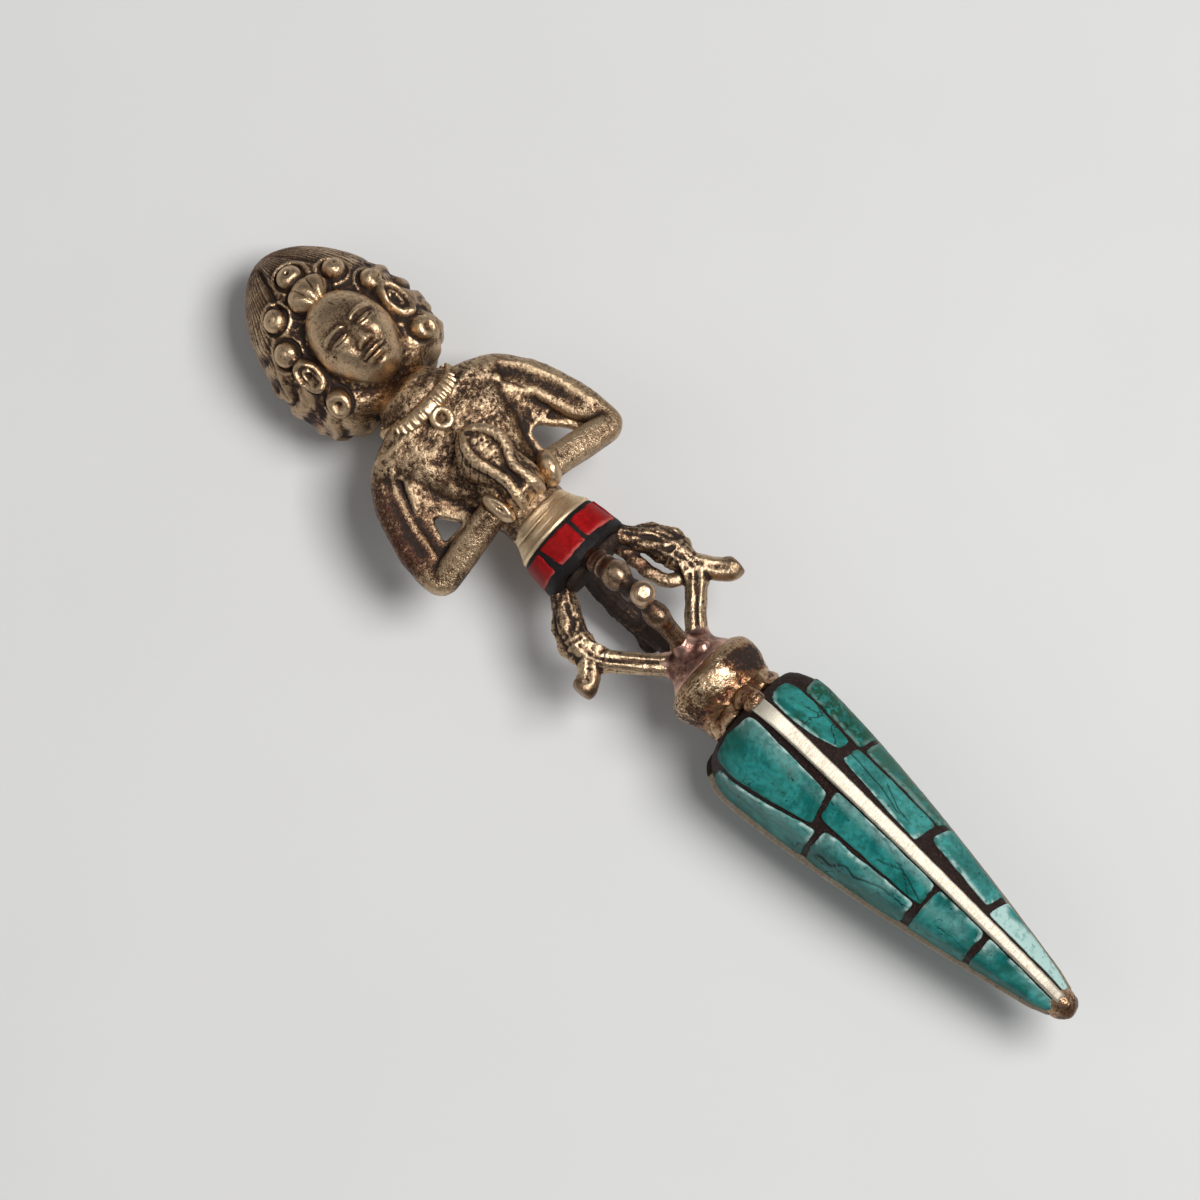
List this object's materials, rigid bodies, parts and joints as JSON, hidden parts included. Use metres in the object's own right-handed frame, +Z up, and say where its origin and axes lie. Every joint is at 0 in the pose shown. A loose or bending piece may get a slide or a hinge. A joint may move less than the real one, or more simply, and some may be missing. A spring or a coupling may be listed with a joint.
{
  "type": "ritual dagger pendant",
  "caption": "Small three-edged ritual dagger in cast brass: a praying figure for a grip, a red tiled band, an open cage of curled prongs and a blade inlaid with turquoise.",
  "frame": {"origin": "middle of the bounding box on the surface that the dagger lies on", "axes": "+Y along the axis from the blade's tip to the crown, +X to the right seen from above, +Z up, the way the face looks"},
  "size_m": [0.0228, 0.093, 0.0172],
  "materials": {
    "figure_brass": "antiqued",
    "cage_brass": "antiqued",
    "braze": "dull copper",
    "bright_brass": "ground bright",
    "black_resin": "satin",
    "coral": "polished",
    "brown_resin": "satin",
    "turquoise": "polished"
  },
  "bodies": {
    "root": {"hair_dome": "figure_brass", "crown_knobs": "figure_brass", "hair_tuft": "figure_brass", "face": "figure_brass", "ears": "figure_brass", "earrings": "figure_brass", "neck": "figure_brass", "necklace": "figure_brass", "necklace_ring": "figure_brass", "torso": "figure_brass", "left_arm": "figure_brass", "right_arm": "figure_brass", "left_web": "figure_brass", "right_web": "figure_brass", "left_bracelet": "figure_brass", "right_bracelet": "figure_brass", "left_hand": "figure_brass", "right_hand": "figure_brass", "waist_cup": "figure_brass", "cage_plate": "cage_brass", "prong_front": "cage_brass", "prong_right": "cage_brass", "prong_back": "cage_brass", "prong_left": "cage_brass", "cage_neck": "cage_brass", "collar": "cage_brass", "skirt": "cage_brass", "neck_braze": "braze", "blade_core": "bright_brass", "band_resin": "black_resin", "coral_1": "coral", "coral_2": "coral", "coral_3": "coral", "coral_4": "coral", "coral_5": "coral", "coral_6": "coral", "blade_resin_1": "brown_resin", "blade_resin_2": "brown_resin", "blade_resin_3": "brown_resin", "turquoise_1_1": "turquoise", "turquoise_1_2": "turquoise", "turquoise_1_3": "turquoise", "turquoise_1_4": "turquoise", "turquoise_1_5": "turquoise", "turquoise_1_6": "turquoise", "turquoise_2_1": "turquoise", "turquoise_2_2": "turquoise", "turquoise_2_3": "turquoise", "turquoise_2_4": "turquoise", "turquoise_2_5": "turquoise", "turquoise_2_6": "turquoise", "turquoise_3_1": "turquoise", "turquoise_3_2": "turquoise", "turquoise_3_3": "turquoise", "turquoise_3_4": "turquoise", "turquoise_3_5": "turquoise", "turquoise_3_6": "turquoise"}
  },
  "joints": []
}
